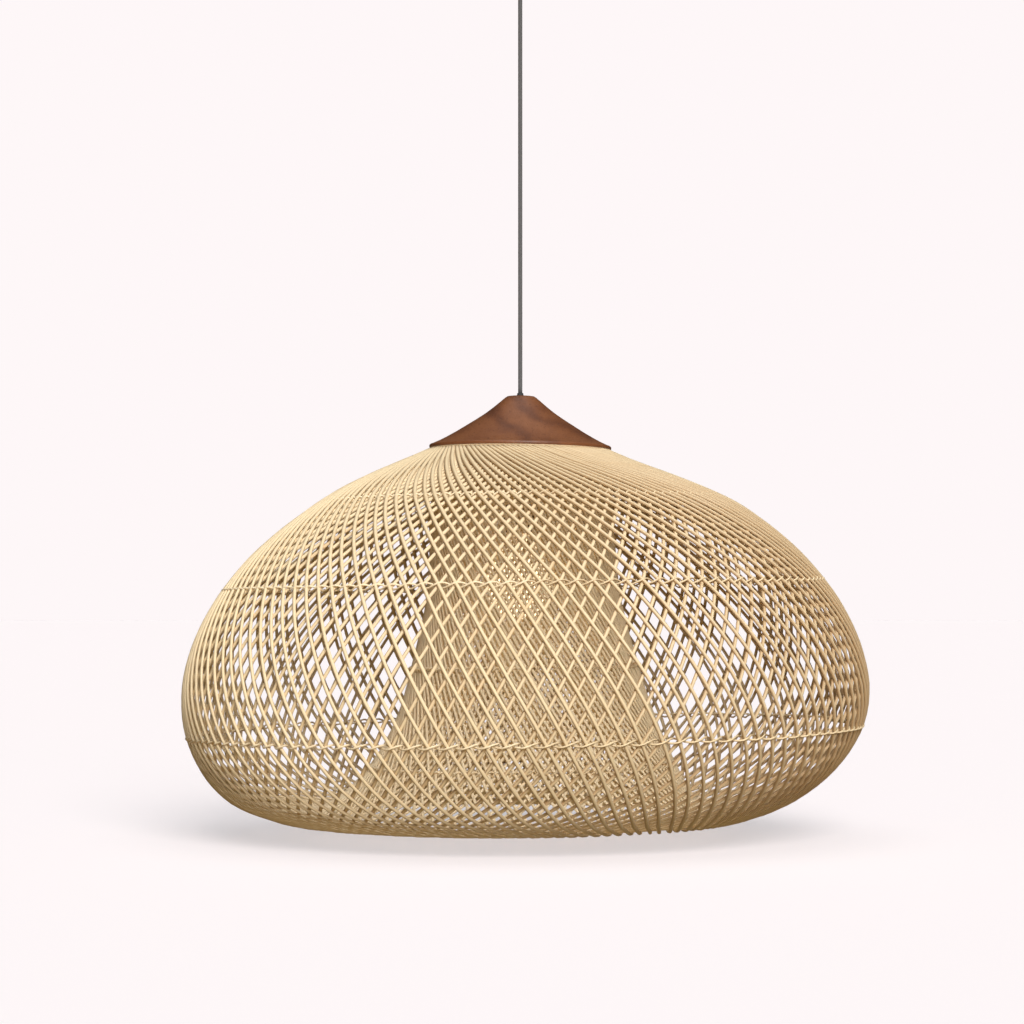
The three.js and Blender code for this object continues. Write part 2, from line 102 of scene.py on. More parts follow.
class Graph:
    """A material's node tree, with one method that makes any node."""

    def __init__(self, name: str) -> None:
        """Starts an empty material.

        Args:
            name: The material's name.
        """
        self.material = bpy.data.materials.new(name)
        self.material.use_nodes = True
        self.tree = self.material.node_tree
        self.tree.nodes.clear()

    def node(self, kind: str, settings: Optional[dict] = None, **sockets: object) -> bpy.types.Node:
        """Adds a node.

        Args:
            kind: The node's type, such as "ShaderNodeMath".
            settings: Properties set before any socket, such as an operation.
            sockets: Values, sockets or plain values, by input name with _ for a space, or by place
                as s0, s1 and so on.

        Returns:
            The new node.
        """
        made = self.tree.nodes.new(kind)
        for key, setting in (settings or {}).items():
            setattr(made, key, setting)
        for key, given in sockets.items():
            place = int(key[1:]) if key[0] == "s" and key[1:].isdigit() else key.replace("_", " ")
            self.feed(made.inputs[place], given)
        return made

    def feed(self, socket: bpy.types.NodeSocket, given: object) -> None:
        """Links or sets one input.

        Args:
            socket: The input.
            given: A Value, a socket, or a plain value.
        """
        if isinstance(given, Value):
            self.tree.links.new(given.socket, socket)
        elif isinstance(given, bpy.types.NodeSocket):
            self.tree.links.new(given, socket)
        else:
            socket.default_value = given

    def value(self, socket: bpy.types.NodeSocket) -> "Value":
        """Wraps an output for arithmetic."""
        return Value(self, socket)

    def ramp(self, factor: "Value", stops: Sequence[tuple[float, tuple]]) -> bpy.types.NodeSocket:
        """Adds a colour ramp.

        Args:
            factor: What runs along the ramp.
            stops: Places from 0 to 1, each with its colour.

        Returns:
            The colour output.
        """
        made = self.tree.nodes.new("ShaderNodeValToRGB")
        line = made.color_ramp.elements
        while len(line) < len(stops):
            line.new(0.5)
        for element, (place, colour) in zip(line, stops):
            element.position = place
            element.color = (*colour, 1.0)
        self.feed(made.inputs["Fac"], factor)
        return made.outputs["Color"]

    def mix(self, factor: object, first: object, second: object) -> bpy.types.NodeSocket:
        """Mixes two colours.

        Args:
            factor: Share of the second colour.
            first: A colour or colour socket.
            second: A colour or colour socket.

        Returns:
            The colour output.
        """
        made = self.tree.nodes.new("ShaderNodeMix")
        made.data_type = "RGBA"
        self.feed(made.inputs[0], factor)
        self.feed(made.inputs[6], colour_of(first))
        self.feed(made.inputs[7], colour_of(second))
        return made.outputs[2]

    def noise(self, vector: bpy.types.NodeSocket, scale: float, detail: float = 3.0,
              rough: float = 0.5) -> "Value":
        """Adds a noise texture and gives its value.

        Args:
            vector: Where the noise is read.
            scale: Its scale.
            detail: Its octaves.
            rough: How strong the finer octaves are.

        Returns:
            The noise from 0 to 1.
        """
        made = self.node("ShaderNodeTexNoise", None, Vector=vector, Scale=scale, Detail=detail,
                         Roughness=rough)
        return self.value(made.outputs[0])

    def stretched(self, vector: bpy.types.NodeSocket, scale: Sequence[float],
                  turn: Sequence[float] = (0, 0, 0),
                  place: Sequence[float] = (0, 0, 0)) -> bpy.types.NodeSocket:
        """Adds a Mapping node.

        Args:
            vector: The coordinates.
            scale: Scale of each axis.
            turn: Rotation of each axis, in radians.
            place: Shift of each axis.

        Returns:
            The mapped coordinates.
        """
        made = self.node("ShaderNodeMapping", None, Vector=vector, Location=place, Rotation=turn, Scale=scale)
        return made.outputs[0]

    def finish(self, colour: object, rough: object, metal: float = 0.0, bump: Optional["Value"] = None,
               height: float = 0.0005, **extra: object) -> bpy.types.Material:
        """Ends the material in a Principled shader.

        Args:
            colour: Base colour.
            rough: Roughness.
            metal: Metallic.
            bump: Height field, from 0 to 1.
            height: The height of the bump, in metres.
            extra: Further sockets of the shader, by name.

        Returns:
            The material.
        """
        shader = self.node("ShaderNodeBsdfPrincipled", None, Roughness=rough, Metallic=metal, **extra)
        self.feed(shader.inputs["Base Color"], colour_of(colour))
        if bump is not None:
            raised = self.node("ShaderNodeBump", None, Strength=1.0, Distance=height, Height=bump)
            self.feed(shader.inputs["Normal"], raised.outputs[0])
        self.node("ShaderNodeOutputMaterial", None, Surface=shader.outputs[0])
        return self.material


def colour_of(given: object) -> object:
    """Gives a plain colour its fourth number, and leaves a socket alone."""
    return (*given, 1.0) if isinstance(given, tuple) and len(given) == 3 else given


class Value:
    """A number that varies over a surface. Arithmetic on it adds Math nodes."""

    def __init__(self, graph: Graph, socket: bpy.types.NodeSocket) -> None:
        """Wraps an output socket.

        Args:
            graph: The material's graph.
            socket: The output.
        """
        self.graph = graph
        self.socket = socket

    def _math(self, operation: str, *given: object, clamp: bool = False) -> "Value":
        """Adds one Math node.

        Args:
            operation: What it does.
            given: Its inputs in order.
            clamp: Whether the result is kept between 0 and 1.

        Returns:
            The node's output.
        """
        made = self.graph.tree.nodes.new("ShaderNodeMath")
        made.operation = operation
        made.use_clamp = clamp
        for place, part in enumerate(given):
            self.graph.feed(made.inputs[place], part)
        return Value(self.graph, made.outputs[0])

    def __add__(self, other: object) -> "Value":
        """Sum."""
        return self._math("ADD", self, other)

    def __radd__(self, other: object) -> "Value":
        """Sum, number first."""
        return self._math("ADD", other, self)

    def __sub__(self, other: object) -> "Value":
        """Difference."""
        return self._math("SUBTRACT", self, other)

    def __rsub__(self, other: object) -> "Value":
        """Difference, number first."""
        return self._math("SUBTRACT", other, self)

    def __mul__(self, other: object) -> "Value":
        """Product."""
        return self._math("MULTIPLY", self, other)

    def __rmul__(self, other: object) -> "Value":
        """Product, number first."""
        return self._math("MULTIPLY", other, self)

    def __truediv__(self, other: object) -> "Value":
        """Quotient."""
        return self._math("DIVIDE", self, other)

    def __pow__(self, other: object) -> "Value":
        """Power."""
        return self._math("POWER", self, other)

    def sine(self) -> "Value":
        """Sine of the value in radians."""
        return self._math("SINE", self)

    def size(self) -> "Value":
        """The value without its sign."""
        return self._math("ABSOLUTE", self)

    def angle(self, across: object) -> "Value":
        """Angle in radians whose rise is this value and whose run is across."""
        return self._math("ARCTAN2", self, across)

    def most(self, other: object) -> "Value":
        """The larger of two."""
        return self._math("MAXIMUM", self, other)

    def held(self) -> "Value":
        """The value kept between 0 and 1."""
        return self._math("ADD", self, 0.0, clamp=True)

    def over(self, low: float, high: float) -> "Value":
        """How far the value is from low to high, kept between 0 and 1."""
        return ((self - low) / (high - low)).held()


# ---------------------------------------------------------------------------------------
# Finishes


@dataclass(frozen=True)
class CaneFinish:
    """Peeled cane: pale skin with long fibres and darker joints, with painted shade on the side of each cane
    that faces into the shade and painted light on the canes up the flared tube.

    Its pieces carry a map with the turn round the cane and the way along it in metres, and
    an attribute "tone" from 0 to 1 for each cane.
    """

    name: str
    pale: tuple = (0.85, 0.69, 0.445)
    warm: tuple = (0.7, 0.47, 0.23)
    dark: tuple = (0.32, 0.17, 0.065)
    # Painted shade: the side of each cane that faces into the shade is darkened towards this colour.
    inward_painted_shade: tuple = (0.4, 0.235, 0.105)
    # Painted light: the canes up the flared tube are lightened towards this colour, in place of light that
    # the shade's middle does not get.
    flare_painted_light: tuple = (1.0, 0.85, 0.6)
    wall_end: tuple = (0.66, 0.78)
    rough: float = 0.42

    def make(self) -> bpy.types.Material:
        """Builds the material.

        Returns:
            The material.
        """
        g = Graph(self.name)
        uv = g.node("ShaderNodeUVMap", {"uv_map": "cane"}).outputs[0]
        tone = g.value(g.node("ShaderNodeAttribute", {"attribute_name": "tone"}).outputs["Fac"])
        spot = g.node("ShaderNodeTexCoord").outputs["Object"]
        fibres = g.noise(g.stretched(uv, (9.0, 45.0, 1.0)), 1.0, 4.0, 0.6)
        streaks = g.noise(g.stretched(uv, (4.0, 9.0, 1.0), place=(3.0, 1.0, 0.0)), 1.0, 2.0)
        patches = g.noise(spot, 26.0, 2.0)
        mottle = g.noise(spot, 7.0, 1.0)
        share = (tone * 0.42 + streaks * 0.5 + (patches - 0.5) * 0.55 + (mottle - 0.5) * 0.35 - 0.12).held()
        body = g.ramp(share, [(0.0, self.pale), (0.45, self.pale), (1.0, self.warm)])
        body = g.mix(fibres.over(0.56, 0.74) * 0.45, body, self.warm)
        knots = g.noise(g.stretched(uv, (0.6, 4.5, 1.0), place=(0.0, 5.0, 0.0)), 1.0, 1.0)
        body = g.mix(knots.over(0.68, 0.76) * 0.55, body, self.dark)
        split = g.node("ShaderNodeSeparateXYZ", None, Vector=uv)
        inside = g.value(split.outputs[1]).over(*self.wall_end)
        # Painted shade: on the wall, the inward side of each cane is darkened where the inside of the shade
        # lies in shade.
        inward = 0.5 - (g.value(split.outputs[0]) * (2 * math.pi)).sine() * 0.5
        body = g.mix(inward.over(0.55, 0.9) * (1.0 - inside) * 0.7, body, self.inward_painted_shade)
        # Painted light on the canes of the flared tube.
        body = g.mix(inside * 0.65, body, self.flare_painted_light)
        rough = self.rough + fibres * 0.25
        return g.finish(body, rough, bump=fibres * 0.7 + streaks * 0.3, height=0.00035)


@dataclass(frozen=True)
class TurnedWood:
    """Oiled reddish-brown wood with long grain across a turned piece."""

    name: str
    light: tuple = (0.25, 0.094, 0.035)
    middle: tuple = (0.175, 0.06, 0.022)
    dark: tuple = (0.075, 0.022, 0.01)

    def make(self) -> bpy.types.Material:
        """Builds the material.

        Returns:
            The material.
        """
        g = Graph(self.name)
        spot = g.node("ShaderNodeTexCoord").outputs["Object"]
        bent = g.stretched(spot, (5.0, 1.2, 9.0), turn=(0.25, 0.12, 0.5))
        drift = g.noise(bent, 2.2, 2.0)
        along = g.node("ShaderNodeSeparateXYZ", None, Vector=bent)
        across = g.value(along.outputs[0]) * 5.0 + g.value(along.outputs[2]) * 3.0 + drift * 7.0
        rings = ((across * 2.6).sine() * 0.5 + 0.5) ** 1.6
        pores = g.noise(g.stretched(spot, (420.0, 34.0, 420.0), turn=(0.1, 0.05, 0.42)), 1.0, 3.0, 0.65)
        fine = g.noise(g.stretched(spot, (130.0, 9.0, 130.0), turn=(0.1, 0.05, 0.42)), 1.0, 4.0, 0.6)
        cloud = g.noise(spot, 14.0, 2.0)
        share = (rings * 0.45 + fine * 0.5 + cloud * 0.35 - 0.22).held()
        body = g.ramp(share, [(0.0, self.light), (0.45, self.middle), (1.0, self.dark)])
        body = g.mix(pores.over(0.58, 0.72) * 0.6, body, self.dark)
        rough = 0.36 + fine * 0.22 + pores.over(0.55, 0.75) * 0.15
        return g.finish(body, rough, bump=1.0 - pores.over(0.5, 0.8) * 0.7 - fine * 0.3, height=0.0003,
                        Coat_Weight=0.12, Coat_Roughness=0.35)


@dataclass(frozen=True)
class BraidedTextile:
    """A fine two-way braid, from the cord's map in turns and metres or round the upright axis."""

    name: str
    thread: tuple = (0.155, 0.157, 0.165)
    # Painted shade: the grooves between the braid's strands are coloured this dark.
    groove_painted_shade: tuple = (0.055, 0.056, 0.06)
    strands: int = 8
    pitch: float = 0.0062
    mapped: bool = True

    def make(self) -> bpy.types.Material:
        """Builds the material.

        Returns:
            The material.
        """
        g = Graph(self.name)
        if self.mapped:
            spot = g.node("ShaderNodeUVMap", {"uv_map": "cane"}).outputs[0]
        else:
            solid = g.node("ShaderNodeTexCoord").outputs["Object"]
            axes = g.node("ShaderNodeSeparateXYZ", None, Vector=solid)
            way_round = g.value(axes.outputs[1]).angle(g.value(axes.outputs[0])) / (2 * math.pi)
            spot = g.node("ShaderNodeCombineXYZ", None, X=way_round, Y=axes.outputs[2]).outputs[0]
        split = g.node("ShaderNodeSeparateXYZ", None, Vector=spot)
        turn = g.value(split.outputs[0]) * float(self.strands)
        run = g.value(split.outputs[1]) / self.pitch * float(self.strands) * 0.5
        one = ((turn + run) * math.pi).sine().size()
        two = ((turn - run) * math.pi).sine().size()
        height = one.most(two)
        fluff = g.noise(g.stretched(spot, (60.0, 2500.0, 1.0)), 1.0, 3.0, 0.6)
        cover = (height.over(0.35, 1.0) * 0.75 + fluff * 0.35).held()
        # Painted shade where the braid is low, in the grooves between its strands.
        body = g.mix(cover, self.groove_painted_shade, self.thread)
        return g.finish(body, 0.82 + fluff * 0.15, bump=height * 0.8 + fluff * 0.2, height=0.00045,
                        Sheen_Weight=0.25, Sheen_Roughness=0.5)


@dataclass(frozen=True)
class PowderCoat:
    """Fine textured powder coat."""

    name: str
    colour: tuple = (0.078, 0.08, 0.085)

    def make(self) -> bpy.types.Material:
        """Builds the material.

        Returns:
            The material.
        """
        g = Graph(self.name)
        spot = g.node("ShaderNodeTexCoord").outputs["Object"]
        peel = g.noise(spot, 900.0, 2.0)
        smear = g.noise(spot, 12.0, 2.0)
        body = g.mix(smear * 0.35, self.colour, tuple(1.35 * c for c in self.colour))
        return g.finish(body, 0.42 + smear * 0.14 + peel * 0.06, 0.1, bump=peel, height=0.00012)


@dataclass(frozen=True)
class PlatedMetal:
    """Zinc or brass plating with fine turning marks and duller patches."""

    name: str
    colour: tuple = (0.6, 0.6, 0.62)
    rough: float = 0.3

    def make(self) -> bpy.types.Material:
        """Builds the material.

        Returns:
            The material.
        """
        g = Graph(self.name)
        spot = g.node("ShaderNodeTexCoord").outputs["Object"]
        marks = g.noise(g.stretched(spot, (90.0, 90.0, 2600.0)), 1.0, 2.0)
        patches = g.noise(spot, 110.0, 3.0)
        body = g.mix(patches.over(0.35, 0.75) * 0.5, self.colour, tuple(0.72 * c for c in self.colour))
        return g.finish(body, self.rough + patches * 0.2 + marks * 0.1, 1.0, bump=marks, height=0.00006)


@dataclass(frozen=True)
class Moulded:
    """Moulded plastic, rubber or fired ceramic with a fine skin."""

    name: str
    colour: tuple = (0.022, 0.022, 0.024)
    rough: float = 0.42
    grain: float = 700.0

    def make(self) -> bpy.types.Material:
        """Builds the material.

        Returns:
            The material.
        """
        g = Graph(self.name)
        spot = g.node("ShaderNodeTexCoord").outputs["Object"]
        skin = g.noise(spot, self.grain, 3.0)
        haze = g.noise(spot, 40.0, 2.0)
        body = g.mix(haze * 0.4, self.colour, tuple(min(1.0, 1.3 * c + 0.004) for c in self.colour))
        return g.finish(body, self.rough + haze * 0.15, bump=skin, height=0.0001)


@dataclass(frozen=True)
class FrostedGlow:
    """Frosted bulb glass, lit warm from inside, brightest round its middle."""

    name: str
    glass: tuple = (0.95, 0.9, 0.82)
    glow: tuple = (1.0, 0.78, 0.5)
    strength: float = 2.4
    middle: float = 0.0

    def make(self) -> bpy.types.Material:
        """Builds the material.

        Returns:
            The material.
        """
        g = Graph(self.name)
        spot = g.node("ShaderNodeTexCoord").outputs["Object"]
        frost = g.noise(spot, 350.0, 3.0)
        height = g.value(g.node("ShaderNodeSeparateXYZ", None, Vector=spot).outputs[2])
        near = 1.0 - ((height - self.middle).size() / 0.075).held() ** 2.0
        tint = g.mix(near * 0.85 + 0.15, (0.55, 0.3, 0.12), self.glow)
        body = g.mix(frost * 0.15, self.glass, (1.0, 1.0, 0.98))
        return g.finish(body, 0.32 + frost * 0.1, bump=frost, height=0.00005,
                        Emission_Color=tint, Emission_Strength=self.strength)


@dataclass(frozen=True)
class PaleGround:
    """Matt pale studio paper, lit partly from behind, and clear when looked at from below."""

    name: str
    colour: tuple
    glow: tuple

    def make(self) -> bpy.types.Material:
        """Builds the material.

        Returns:
            The material.
        """
        g = Graph(self.name)
        paper = g.node("ShaderNodeBsdfPrincipled", None, Roughness=0.95, Specular_IOR_Level=0.0,
                       Base_Color=(*self.colour, 1.0), Emission_Color=(*self.glow, 1.0),
                       Emission_Strength=1.0)
        clear = g.node("ShaderNodeBsdfTransparent")
        side = g.node("ShaderNodeNewGeometry").outputs["Backfacing"]
        both = g.node("ShaderNodeMixShader", None, s0=side, s1=paper.outputs[0], s2=clear.outputs[0])
        g.node("ShaderNodeOutputMaterial", None, Surface=both.outputs[0])
        return g.material


# ---------------------------------------------------------------------------------------
# Mesh making


def smooth_line(points: Sequence[Point], steps: int) -> list[Point]:
    """Runs a smooth line through an outline and spaces points evenly along it.

    Args:
        points: The outline as (radius, height).
        steps: How many equal steps to divide it into.

    Returns:
        steps + 1 points.
    """
    ends = [points[0], *points, points[-1]]
    dense: list[Point] = []
    for i in range(1, len(ends) - 2):
        dense += catmull_span(ends[i - 1], ends[i], ends[i + 1], ends[i + 2], 24)
    dense.append(points[-1])
    lengths = [0.0]
    for a, b in zip(dense, dense[1:]):
        lengths.append(lengths[-1] + math.dist(a, b))
    spaced = []
    k = 0
    for i in range(steps + 1):
        goal = lengths[-1] * i / steps
        while k < len(dense) - 2 and lengths[k + 1] < goal:
            k += 1
        share = (goal - lengths[k]) / max(1e-12, lengths[k + 1] - lengths[k])
        a, b = dense[k], dense[k + 1]
        spaced.append((a[0] + (b[0] - a[0]) * share, a[1] + (b[1] - a[1]) * share))
    return spaced


def catmull_span(a: Point, b: Point, c: Point, d: Point, count: int) -> list[Point]:
    """Divides one span of a centripetal Catmull-Rom line.

    Args:
        a: Point before the span.
        b: Start of the span.
        c: End of the span.
        d: Point after the span.
        count: How many points to give, from the start on.

    Returns:
        The points, without the span's end.
    """
    knots = [0.0]
    for p, q in ((a, b), (b, c), (c, d)):
        knots.append(knots[-1] + max(1e-6, math.sqrt(math.dist(p, q))))
    made = []
    for i in range(count):
        t = knots[1] + (knots[2] - knots[1]) * i / count
        row = [Vector(p) for p in (a, b, c, d)]
        for level in (1, 2, 3):
            row = [
                row[j] + (row[j + 1] - row[j]) * ((t - knots[j]) / (knots[j + level] - knots[j]))
                for j in range(4 - level)
            ]
        made.append((row[0].x, row[0].y))
    return made


def piece(name: str, bm: bmesh.types.BMesh, material: bpy.types.Material, body: Body,
          replaces: Sequence[str]) -> bpy.types.Object:
    """Turns a finished bmesh into a shown piece of the lamp.

    Args:
        name: The piece's name.
        bm: Its mesh, freed here.
        material: Its finish.
        body: The body that it rides on.
        replaces: CAD nodes that it stands for, or none where it is a detail of its own.

    Returns:
        The object.
    """
    mesh = bpy.data.meshes.new(name)
    for face in bm.faces:
        face.smooth = True
    bm.to_mesh(mesh)
    bm.free()
    mesh.materials.append(material)
    made = bpy.data.objects.new(name, mesh)
    bpy.context.scene.collection.objects.link(made)
    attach(made, body.value)
    if replaces:
        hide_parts(*replaces)
    log.info("%-22s %7d faces", name, len(mesh.polygons))
    return made


@dataclass
class Turning:
    """A turned piece: an outline in a plane through the axis, spun round it.

    The outline is a closed loop, or has both its ends on the axis. Edges that turn by more than
    soft_angle are rounded over.
    """

    outline: Sequence[Point]
    steps: int = 96
    closed: bool = True
    round_over: float = 0.0
    soft_angle: float = math.radians(32)

    def build(self) -> bmesh.types.BMesh:
        """Spins the outline.

        Returns:
            The turned mesh, outward facing.
        """
        bm = bmesh.new()
        verts = [bm.verts.new((radius, 0.0, height)) for radius, height in self.outline]
        pairs = list(zip(verts, verts[1:]))
        if self.closed:
            pairs.append((verts[-1], verts[0]))
        edges = [bm.edges.new(pair) for pair in pairs]
        bmesh.ops.spin(bm, geom=verts + edges, cent=(0, 0, 0), axis=(0, 0, 1), dvec=(0, 0, 0),
                       angle=2 * math.pi, steps=self.steps, use_merge=True, use_duplicate=False)
        bmesh.ops.remove_doubles(bm, verts=bm.verts, dist=1e-6)
        bmesh.ops.dissolve_degenerate(bm, edges=bm.edges, dist=1e-7)
        bmesh.ops.recalc_face_normals(bm, faces=bm.faces)
        if self.round_over > 0.0:
            whole = [edge for edge in bm.edges if len(edge.link_faces) == 2]
            sharp = [edge for edge in whole if edge.calc_face_angle(0.0) > self.soft_angle]
            bmesh.ops.bevel(bm, geom=sharp, offset=self.round_over, offset_type="OFFSET", segments=3,
                            profile=0.5, affect="EDGES", clamp_overlap=True, material=-1)
        return bm


@dataclass
class Sweep:
    """Round rods swept along many routes at once, section by section.

    Each rod has its own start tone, and carries a map of the turn round it and the way along.
    """

    radius: float
    sides: int = 8
    flatness: float = 1.0
    widths: Optional[Sequence[float]] = None

    def build(self, routes: Sequence[Sequence[tuple[Vector, Vector]]], tones: Sequence[float],
              closed: bool = False) -> bmesh.types.BMesh:
        """Sweeps one rod along each route.

        Args:
            routes: For each rod, its points, each with the direction that its flat side faces.
            tones: For each rod, its tone from 0 to 1.
            closed: Whether every rod ends where it starts.

        Returns:
            The mesh with its map and its tone.
        """
        bm = bmesh.new()
        owner = bm.verts.layers.int.new("owner")
        place = bm.verts.layers.int.new("place")
        along = bm.verts.layers.float.new("along")
        tone = bm.verts.layers.float.new("tone")
        frames = [self.sections(route, closed) for route in routes]
        rings: list[bmesh.types.BMEdge] = []
        for rod, row in enumerate(frames):
            circle = bmesh.ops.create_circle(bm, segments=self.sides, radius=self.radius, cap_ends=False)
            made = circle["verts"]
            for index, vert in enumerate(made):
                vert[owner], vert[place], vert[tone] = rod, index, tones[rod]
            bmesh.ops.transform(bm, matrix=row[0][0], verts=made)
            rings += list({edge for vert in made for edge in vert.link_edges})
        first = list(rings)
        for step in range(1, len(frames[0])):
            grown = bmesh.ops.extrude_edge_only(bm, edges=rings)["geom"]
            for vert in (v for v in grown if isinstance(v, bmesh.types.BMVert)):
                row = frames[vert[owner]]
                vert.co = row[step][0] @ (row[step - 1][1] @ vert.co)
                vert[along] = row[step][2]
            rings = [e for e in grown if isinstance(e, bmesh.types.BMEdge) and len(e.link_faces) == 1]
        if closed:
            bmesh.ops.remove_doubles(bm, verts=bm.verts, dist=self.radius * 0.02)
        else:
            bmesh.ops.holes_fill(bm, edges=first + rings, sides=self.sides)
        bmesh.ops.recalc_face_normals(bm, faces=bm.faces)
        self.lay_map(bm, place, along)
        return bm

    def sections(self, route: Sequence[tuple[Vector, Vector]],
                 closed: bool) -> list[tuple[Matrix, Matrix, float]]:
        """Works out where each section stands.

        Args:
            route: Points, each with the direction that its flat side faces.
            closed: Whether the route ends where it starts.

        Returns:
            For each point the section's matrix, its inverse and the way along.
        """
        rows = []
        run = 0.0
        last = len(route) - 1
        for i, (spot, outward) in enumerate(route):
            before = route[i - 1][0] if i > 0 else (route[last - 1][0] if closed else spot)
            after = route[i + 1][0] if i < last else (route[1][0] if closed else spot)
            ahead = (after - before).normalized()
            side = ahead.cross(outward).normalized()
            up = side.cross(ahead)
            width = self.widths[i] if self.widths else 1.0
            turn = Matrix((side * width, up * self.flatness * width, ahead)).transposed().to_4x4()
            turn.translation = spot
            run += (spot - route[i - 1][0]).length if i > 0 else 0.0
            rows.append((turn, turn.inverted(), run))
        return rows

    def lay_map(self, bm: bmesh.types.BMesh, place: object, along: object) -> None:
        """Writes the map, in turns round the rod and metres along it.

        Args:
            bm: The swept mesh.
            place: Layer of each vertex's place round its section.
            along: Layer of each vertex's way along its rod.
        """
        uv = bm.loops.layers.uv.new("cane")
        for face in bm.faces:
            places = [loop.vert[place] for loop in face.loops]
            ways = [loop.vert[along] for loop in face.loops]
            wraps = max(places) - min(places) > self.sides // 2
            jumps = max(ways) - min(ways) > 0.05
            for loop, spot, way in zip(face.loops, places, ways):
                turn = spot + (self.sides if wraps and spot < self.sides // 2 else 0)
                loop[uv].uv = (turn / self.sides, max(ways) + 0.004 if jumps and way == min(ways) else way)


# ---------------------------------------------------------------------------------------
# The frame's measures


@dataclass
class Measures:
    """Places that the pieces are set out from, read once from the frame."""

    cap_top: float
    cap_base: float
    shade_radius: float
    shade_base: float
    belly: float

    @classmethod
    def read(cls) -> "Measures":
        """Reads the boxes of the cap and the shade.

        Returns:
            The measures.
        """
        cap_low, cap_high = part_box("wooden_cap")
        _, belly_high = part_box("shade_belly_canes")
        rim_low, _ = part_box("shade_rim_canes")
        radius = max(belly_high[0], belly_high[1])
        widest_share = 0.86
        return cls(cap_high[2], cap_low[2], radius, rim_low[2], cap_high[2] - widest_share * radius)


# ---------------------------------------------------------------------------------------
# The shade


@dataclass
class WovenShade:
    """Two crossing layers of canes from under the cap, round the bottom and up inside.

    The outlines are (radius, height from the cap's top) in metres. They give the outer face of
    the wall and the face of the flared tube that looks at the bulb, and their radii are scaled
    so that the widest circle is the frame's.
    """

    measures: Measures
    canes: int = 120
    cane_radius: float = 0.00212
    cane_flatness: float = 0.78
    cane_steps: int = 98
    slope_right: float = 0.55
    slope_left: float = 0.53
    start_swirl: float = 0.55
    start_reach: float = 0.03
    foot_swirl: float = 0.24
    foot_run: float = 0.66
    foot_reach: float = 0.09
    lean_top: float = math.radians(0.75)
    lean: float = math.radians(-1.15)
    lean_base: float = math.radians(-0.1)
    lean_depth: float = 0.08
    swing: float = 0.0122
    swing_depth: float = 0.14
    ring_levels: tuple = (-0.121, -0.221, -0.392)
    flare_ring_levels: tuple = (-0.319, -0.435)
    ring_cane: float = 0.00115
    ring_rise: float = 0.0023
    ring_proud: tuple = (-0.7, -0.3, 0.5, 0.2, 0.2)
    ring_sway: float = 0.0012
    ring_steps_each: int = 5
    crown_width: float = 1.2
    crown_gain: float = 1.6
    crown_foot: float = -0.3
    flare_width: float = 0.85
    flare_gain: float = 2.2
    start_scatter: float = 0.0016
    sway_reach: float = 0.0016
    sway_pace: float = 0.11
    lift_reach: float = 0.0005
    lift_pace: float = 0.23
    tone_right: float = 0.38
    # The inner layer's darker middle tone is painted shade for the shade that the outer layer casts on it;
    # the scatter round it is the canes' own.
    left_tone_with_painted_shade: float = 0.68
    tone_scatter: float = 0.22
    binding_step: float = 0.15
    binding_depth: float = 0.0008
    binding_rod: float = 0.0015
    wall: tuple = (
        (0.1040, -0.0622), (0.1085, -0.0642), (0.143, -0.0788), (0.196, -0.1005), (0.247, -0.1272),
        (0.303, -0.169), (0.352, -0.222), (0.386, -0.283), (0.400, -0.345), (0.392, -0.396),
        (0.3655, -0.441), (0.328, -0.4728), (0.288, -0.4895),
    )
    flare: tuple = (
        (0.257, -0.497), (0.226, -0.489), (0.194, -0.462), (0.166, -0.421), (0.143, -0.372),
        (0.125, -0.310), (0.108, -0.240), (0.102, -0.165), (0.096, -0.0735),
    )

    def __post_init__(self) -> None:
        """Lays out the line that every cane follows and how far round it has turned."""
        scale = self.measures.shade_radius / max(radius for radius, _ in self.wall)
        outline = [(radius * scale, height) for radius, height in (*self.wall, *self.flare)]
        self.line = smooth_line(outline, self.cane_steps)
        self.lowest = min(range(len(self.line)), key=lambda i: self.line[i][1])
        self.turns = {way: self.turned(way) for way in Way}

    def turned(self, way: Way) -> list[float]:
        """Works out how far a cane has turned at each step, so that the layers cross at the rings.

        Args:
            way: Which layer.

        Returns:
            The turn in radians at each point of the line.
        """
        base = self.slope_right if way is Way.RIGHT else self.slope_left
        raw = [0.0]
        run = 0.0
        for a, b in zip(self.line, self.line[1:]):
            run += math.dist(a, b)
            near_foot = math.exp(-((run - self.foot_run) / self.foot_reach) ** 2)
            slope = base + self.start_swirl * math.exp(-run / self.start_reach) + self.foot_swirl * near_foot
            raw.append(raw[-1] + slope * math.dist(a, b) / ((a[0] + b[0]) / 2))
        crossing = 2 * math.pi / self.canes
        fixed = [(0.0, 0.0)]
        for step in sorted(self.ring_steps()):
            share = step % 1.0
            low = int(step)
            here = raw[low] + (raw[min(low + 1, len(raw) - 1)] - raw[low]) * share
            fixed.append((step, round(here / crossing) * crossing - here))
        fixed.append((float(self.cane_steps), fixed[-1][1]))
        turned = []
        for step, angle in enumerate(raw):
            k = max(i for i in range(len(fixed) - 1) if fixed[i][0] <= step)
            (s0, d0), (s1, d1) = fixed[k], fixed[k + 1]
            turned.append(angle + d0 + (d1 - d0) * (step - s0) / max(1e-9, s1 - s0))
        return turned

    def ring_steps(self) -> list[float]:
        """Finds where along the line the wall's and the flare's rings sit."""
        wall = [self.step_at(level, True) for level in self.ring_levels]
        return wall + [self.step_at(level, False) for level in self.flare_ring_levels]

    def step_at(self, level: float, on_wall: bool) -> float:
        """Finds the step of the line at a height.

        Args:
            level: Height from the cap's top.
            on_wall: Whether to look on the wall or on the flare.

        Returns:
            The step, with its fraction.
        """
        span = range(1, self.lowest + 1) if on_wall else range(self.lowest + 1, len(self.line))
        for i in span:
            a, b = self.line[i - 1][1], self.line[i][1]
            if (a - level) * (b - level) <= 0.0 and a != b:
                return i - 1 + (level - a) / (b - a)
        return float(span[-1])

